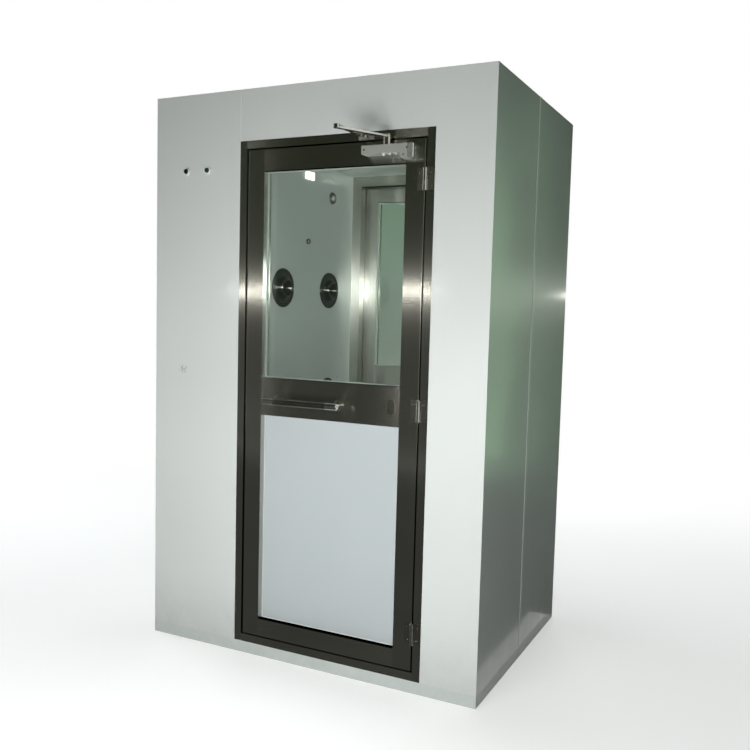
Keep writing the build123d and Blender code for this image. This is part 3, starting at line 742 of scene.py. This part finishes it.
def loop_piece(name, loops, material, body, to_rear=False):
    """Rectangle loops as one piece. A loop is x0, x1, z0, z1, wall y, rise and width."""
    work = bmesh.new()
    for x0, x1, z0, z1, wall, rise, width in loops:
        corners = []
        for depth in (wall, wall + rise):
            for inset in (0, width):
                corners.append([work.verts.new((x, depth, z)) for x, z in (
                    (x0 + inset, z0 + inset), (x1 - inset, z0 + inset),
                    (x1 - inset, z1 - inset), (x0 + inset, z1 - inset))])
        for a, b in ((0, 1), (2, 3), (0, 2), (1, 3)):
            for k in range(4):
                n = (k + 1) % 4
                work.faces.new((corners[a][k], corners[a][n], corners[b][n], corners[b][k]))
    if to_rear:
        bmesh.ops.transform(work, matrix=half_turn, verts=work.verts)
    bmesh.ops.recalc_face_normals(work, faces=work.faces)
    mesh = bpy.data.meshes.new(name)
    work.to_mesh(mesh)
    work.free()
    piece = new_piece(name, mesh, material, body)
    rounded(piece, 0.8 * MM, 2)
    return piece


def both_faces(low, high):
    """A bead on the front and one on the rear face of an infill."""
    return [(low.x, high.x, low.z, high.z, low.y, -BEAD_RISE, BEAD_WIDTH),
            (low.x, high.x, low.z, high.z, high.y, BEAD_RISE, BEAD_WIDTH)]


stop_loop = (leaf_low.x - SEAL_OVERLAP, leaf_high.x + SEAL_OVERLAP,
             leaf_low.z - SEAL_OVERLAP / 2, leaf_high.z + SEAL_OVERLAP,
             front_y + STOP_DEPTH, -SEAL_RISE, SEAL_WIDTH)
for end in ("front", "back"):
    rear = end == "back"
    loop_piece(end + "_pane_beads", both_faces(glass_low, glass_high),
               clear_silicone, end + "_door", rear)
    loop_piece(end + "_panel_beads", both_faces(panel_low, panel_high),
               pale_sealant, end + "_door", rear)
    loop_piece(end + "_stop_seal", [stop_loop], black_rubber, "cabinet",
               rear)
print("seal loops: 5 at each end")

# %% [markdown]
# Cable gland
#
# High on the fan-side wall a wire comes through a black rubber ring with a polished plug in it.

# %% Gland
GLAND_RING = [(13.0, 5.0), (14.5, 7.5), (18.0, 9.0), (22.0, 8.0), (25.5, 4.5), (27.0, 0.0),
              (13.0, 0.0), (13.0, 5.0)]
GLAND_PLUG = [(0, 7.0), (6.0, 7.0), (7.5, 10.0), (10.5, 10.0), (13.0, 6.5), (13.0, 0.0), (0, 0.0)]
GLAND_Y, GLAND_Z = 0.205, 1.838
GLAND_SEGMENTS = 32
gland_place = [(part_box("chamber_left_wall")[1].x, GLAND_Y, GLAND_Z)]
turned("cable_gland_ring", GLAND_RING, gland_place, RIGHT, black_rubber, "cabinet",
       GLAND_SEGMENTS)
turned("cable_gland_plug", GLAND_PLUG, gland_place, RIGHT, polished_steel, "cabinet",
       GLAND_SEGMENTS)
print("gland", 2 * max(radius for radius, height in GLAND_RING), "mm across")

# %% [markdown]
# Floor
#
# The floor is a wide pale sheet that fades to white, so that it has no edge. A little glow lifts
# it for the eye, and the shadow stays.

# %% Floor
FLOOR_HALF = 30.0
FADE_START, FADE_END = 1.5, 4.2
CLOTH_SIZE = 33.3 * MM


def seen_rays(tree):
    """One for rays that reach the eye straight, by a mirror or through glass."""
    ray = add(tree, "ShaderNodeLightPath").outputs
    mirror = add(tree, "ShaderNodeMath", {"operation": "MAXIMUM"}, i0=ray["Is Camera Ray"],
                 i1=ray["Is Glossy Ray"])
    return add(tree, "ShaderNodeMath", {"operation": "MAXIMUM"}, i0=mirror,
               i1=ray["Is Transmission Ray"])


def sheet(name, corners, material):
    """A flat four-cornered sheet that belongs to the studio."""
    mesh = bpy.data.meshes.new(name)
    mesh.from_pydata(corners, [], [(0, 1, 2, 3)])
    mesh.materials.append(material)
    piece = bpy.data.objects.new(name, mesh)
    bpy.context.scene.collection.objects.link(piece)
    piece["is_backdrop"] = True
    return piece


pale_floor, tree, place = new_material("pale_studio_floor")
away = add(tree, "ShaderNodeVectorMath", {"operation": "LENGTH"}, i0=place).outputs["Value"]
fade = add(tree, "ShaderNodeMapRange", {"interpolation_type": "SMOOTHSTEP"}, Value=away,
           From_Min=FADE_START, From_Max=FADE_END)
cloth = add(tree, "ShaderNodeTexNoise", Vector=place, Scale=1 / CLOTH_SIZE, Detail=3.0)
tone = add(tree, "ShaderNodeMix", {"data_type": "RGBA"}, i0=cloth, i6=linear("#D6D7D6"),
           i7=linear("#DCDDDC"))
lit = add(tree, "ShaderNodeBsdfDiffuse", Color=tone.outputs[2])
lift = add(tree, "ShaderNodeEmission", Color=(1, 1, 1, 1), Strength=0.50)
seen = seen_rays(tree)
lifted = add(tree, "ShaderNodeMixShader", i0=seen, i1=lit,
             i2=add(tree, "ShaderNodeAddShader", i0=lit, i1=lift))
white = add(tree, "ShaderNodeEmission", Color=(1, 1, 1, 1), Strength=1.0)
share = add(tree, "ShaderNodeMath", {"operation": "MULTIPLY"}, i0=fade, i1=seen)
add(tree, "ShaderNodeOutputMaterial",
    Surface=add(tree, "ShaderNodeMixShader", i0=share, i1=lifted, i2=white))
sheet("studio_floor", [(-FLOOR_HALF, -FLOOR_HALF, 0), (FLOOR_HALF, -FLOOR_HALF, 0),
                       (FLOOR_HALF, FLOOR_HALF, 0), (-FLOOR_HALF, FLOOR_HALF, 0)], pale_floor)
print("floor fades to white between", FADE_START, "and", FADE_END, "m")

# %% [markdown]
# Sky
#
# The sky is white for the camera and in glass and metal, and dim for the light it sheds, so that
# the lamps shape the cabin.

# %% Sky
SKY_LIGHT = 0.07
world = bpy.data.worlds.new("studio_sky")
bpy.context.scene.world = world
world.use_nodes = True
sky = world.node_tree
sky.nodes.clear()
bright = add(sky, "ShaderNodeBackground", Color=(1, 1, 1, 1), Strength=1.0)
dim = add(sky, "ShaderNodeBackground", Color=linear("#DFEBE3"), Strength=SKY_LIGHT)
add(sky, "ShaderNodeOutputWorld",
    Surface=add(sky, "ShaderNodeMixShader", i0=seen_rays(sky), i1=dim, i2=bright))
print("the sky sheds", SKY_LIGHT, "of the light that it shows")

# %% [markdown]
# Cards for the mirrors
#
# Photographers stand black and white boards round polished metal. These boards shine only into
# glossy surfaces: the camera, the floor and dull surfaces never see them. Each comes twice, once
# for each door. A dark wall, a dark floor and a dark ceiling give the steel its depth, and
# narrow bright boards at eye height make the pale band across it. They stand where the scratches
# still spread their light to the frame but the flat glass doesn't mirror it. Pale boards give
# the open door's edge and the chamber's lining something to mirror, and the last one shows only
# through the glass.

# %% Cards
PATCH_SIZE = 769 * MM
boards = []


def mirror_only(board, through_glass=False):
    """Show a board in mirrors only, or through glass only."""
    board.visible_camera = board.visible_diffuse = board.visible_shadow = False
    board.visible_volume_scatter = False
    board.visible_glossy = not through_glass
    board.visible_transmission = through_glass
    boards.append(board)


def card(name, corners, low_colour, high_colour, strength, through_glass=False):
    """A board in two colours, low to high, that only one kind of ray sees."""
    material, tree, place = new_material(name + "_surface")
    height = add(tree, "ShaderNodeSeparateXYZ", Vector=place).outputs["Z"]
    rise = add(tree, "ShaderNodeMapRange", Value=height, From_Min=0.2, From_Max=2.6)
    patches = add(tree, "ShaderNodeTexNoise", Vector=place, Scale=1 / PATCH_SIZE, Detail=2.0)
    level = add(tree, "ShaderNodeMapRange", Value=patches, To_Min=strength * 0.6,
                To_Max=strength * 1.4)
    colour = add(tree, "ShaderNodeMix", {"data_type": "RGBA"}, i0=rise, i6=linear(low_colour),
                 i7=linear(high_colour))
    glow = add(tree, "ShaderNodeEmission", Color=colour.outputs[2], Strength=level)
    add(tree, "ShaderNodeOutputMaterial", Surface=glow)
    for label, matrix in (("_front", Matrix.Identity(4)), ("_back", half_turn)):
        mirror_only(sheet(name + label, [matrix @ Vector(c) for c in corners], material),
                    through_glass)


def upright(x0, y0, x1, y1, z0, z1):
    """Corners of an upright board between two plan points."""
    return [(x0, y0, z0), (x1, y1, z0), (x1, y1, z1), (x0, y0, z1)]


def lying(x0, x1, y0, y1, z):
    """Corners of a level board."""
    return [(x0, y0, z), (x1, y0, z), (x1, y1, z), (x0, y1, z)]


ROOM_Y, LIGHTS_Y = -4.6, -4.4
GROUND = 4 * MM
WARM, DUSK, SHADE = "#FFFDF6", "#262A20", "#3A3B38"
card("dim_room", upright(-9, ROOM_Y, 9, ROOM_Y, -0.1, 12), "#3E3F3B", DUSK, 1.5)
card("dim_floor", lying(-6, 6, -4.5, -0.51, GROUND), SHADE, SHADE, 1.5)
card("dim_ceiling", lying(-6, 6, -4.5, -0.45, 5), DUSK, DUSK, 1.2)
for name, x0, x1, z0, z1, strength in (("far_light_left", -9, -5.0, 1.44, 1.50, 14.0),
                                       ("far_light_right", 1.6, 6, 1.47, 1.53, 20.0),
                                       ("near_light_left", -3.20, -2.86, 1.455, 1.495, 46.0),
                                       ("near_light_right", -1.43, -1.06, 1.485, 1.525, 48.0)):
    card(name, upright(x0, LIGHTS_Y, x1, LIGHTS_Y, z0, z1), WARM, WARM, strength)
card("pale_side_light", upright(4.5, -3.6, 4.5, -1.4, 0, 3), "#B4BBB0", "#C8CFC4", 1.3)
card("chamber_side", upright(0.478, -0.3, 0.478, 0.42, 0.2, 1.9), "#9FA8A2", "#C9D2CC", 0.75)
card("far_room", upright(2.0, 3.0, -2.5, 3.0, 0, 3), "#B9BDB6", "#7C9A80", 0.72, True)
print("cards:", len(boards))

# %% [markdown]
# Green reflections on the side
#
# The right side stands at a flat angle to the eye, so its coat works as a mirror and looks a
# soft, uneven green. A green board behind the cabin gives it that, with a strip on the ground
# that carries on below it. Its brightness falls off toward the cabin and toward the top, in
# upright blotches about 200 mm wide.

# %% Side card
SIDE_Y = 4.4
SIDE_PLACE = upright(0.9, SIDE_Y, 2.8, SIDE_Y, -0.1, 6)
BLOTCH = (1 / (200 * MM), 1.0, 1 / (1111 * MM))
green, tree, place = new_material("green_surroundings")
split = add(tree, "ShaderNodeSeparateXYZ", Vector=place)
fall = add(tree, "ShaderNodeMapRange", {"interpolation_type": "SMOOTHSTEP"},
           Value=split.outputs["X"], From_Min=1.75, From_Max=2.15, To_Min=0.06, To_Max=3.6)
lower = add(tree, "ShaderNodeMapRange", {"interpolation_type": "SMOOTHSTEP"},
            Value=split.outputs["Z"], From_Min=3.9, From_Max=1.6, To_Min=0.3, To_Max=1.0)
stretched = add(tree, "ShaderNodeMapping", Vector=place, Scale=BLOTCH)
blotches = add(tree, "ShaderNodeTexNoise", Vector=stretched, Scale=1.0, Detail=5.0,
               Roughness=0.6)
patchy = add(tree, "ShaderNodeMapRange", Value=blotches, From_Min=0.38, From_Max=0.62,
             To_Min=0.1, To_Max=1.0)
amount = add(tree, "ShaderNodeMath", {"operation": "MULTIPLY"}, i0=fall, i1=patchy)
amount = add(tree, "ShaderNodeMath", {"operation": "MULTIPLY"}, i0=amount, i1=lower)
add(tree, "ShaderNodeOutputMaterial",
    Surface=add(tree, "ShaderNodeEmission", Color=linear("#9CCB9C"), Strength=amount))
for name, corners in (("green_board", SIDE_PLACE),
                      ("green_ground", lying(0.8, 2.8, -0.4, SIDE_Y, GROUND))):
    mirror_only(sheet(name, corners, green))
print("the side board stands at y =", SIDE_Y, "and makes", len(boards), "boards in all")

# %% [markdown]
# Lamps
#
# The key is a wide, low strip in front and a little to the right: it lights the middle of the
# front most and lets the top fall off. Softer lamps reach the left side, the back and the roof,
# and a small one stands in for the chamber's own lamp. None of these shows in mirrors, because
# the cards do that. Two tiny lamps do the opposite: they shed no light and only make glints, one
# on the door's hardware and one across the nozzles.

# %% Lamps
def lamp(name, place, target, width, height, power, colour="#FFFFFF", glint=False):
    """A soft rectangular lamp that points at a target, or one that only shiny things see."""
    light = bpy.data.lights.new(name, "AREA")
    light.shape, light.size, light.size_y, light.energy = "RECTANGLE", width, height, power
    light.color = linear(colour)[:3]
    holder = bpy.data.objects.new(name, light)
    holder.location = place
    holder.rotation_mode = "QUATERNION"
    holder.rotation_quaternion = (Vector(target) - Vector(place)).to_track_quat("-Z", "Y")
    bpy.context.scene.collection.objects.link(holder)
    holder.visible_camera = holder.visible_transmission = False
    holder.visible_glossy, holder.visible_diffuse = glint, not glint
    return holder


lamp("key", (0.46, -2.5, 0.92), (0.34, 0, 0.86), 1.7, 0.6, 40, "#FDFFFD")
lamp("left_fill", (-4.2, 0.6, 2.2), (-0.7, 0, 1.0), 2.0, 2.0, 60, "#F6FBFF")
lamp("rear_fill", (-0.3, 4.4, 1.8), (0, 0.5, 1.1), 2.0, 1.5, 75, "#F8FFFB")
lamp("chamber_light", (0.46, 0, 0.95), (-0.27, 0, 0.95), 0.6, 1.3, 0.9)
lamp("flash", (1.72, -3.10, 1.475), (0.2, -0.5, 1.4), 0.05, 0.04, 5.5, "#FFFFFF", True)
lamp("chamber_glint", (0.38, -0.42, 1.46), (-0.3, 0, 1.42), 0.05, 0.12, 30, "#FFFFFF", True)
lamp("roof_fill", (0, 0, 4.4), (0, 0, 2.15), 1.2, 0.8, 30)
print("lamps:", len(bpy.data.lights))

# %% [markdown]
# Camera
#
# Place, heading, tilt, roll and lens were solved from the straight edges of the picture, for a
# square frame. The three axes of the camera come from the heading and the tilt, and then both
# upright and level axis are turned by the roll.

# %% Camera
CAMERA_PLACE = Vector((1.5994, -3.1437, 1.3511))
YAW, PITCH, ROLL = (math.radians(a) for a in (-26.42, -4.53, 1.48))
FOCAL_LENGTH, SENSOR_WIDTH = 40.46, 36.0
ahead = Vector((math.sin(YAW) * math.cos(PITCH), math.cos(YAW) * math.cos(PITCH),
                math.sin(PITCH)))
level = Vector((math.cos(YAW), -math.sin(YAW), 0))
upward = level.cross(ahead)
right = level * math.cos(ROLL) + upward * math.sin(ROLL)
top = upward * math.cos(ROLL) - level * math.sin(ROLL)
optics = bpy.data.cameras.new("camera")
optics.lens, optics.sensor_width = FOCAL_LENGTH, SENSOR_WIDTH
camera = bpy.data.objects.new("camera", optics)
axes = Matrix((right, top, -ahead)).transposed().to_4x4()
camera.matrix_world = Matrix.Translation(CAMERA_PLACE) @ axes
bpy.context.scene.collection.objects.link(camera)
bpy.context.scene.camera = camera
bpy.context.scene.view_settings.view_transform = "Standard"
print("camera", round((CAMERA_PLACE - Vector((0, front_y, 1))).length, 2), "m from the door")

# %% [markdown]
# Sizes
#
# The box of the dressed model, without the studio pieces, is measured and printed. The
# dressed model has to stay inside the box of the CAD solids.

# %% Measure the dressed box
bpy.context.view_layer.update()
low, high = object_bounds()
print("dressed box in metres:", [round(v, 3) for v in high - low])
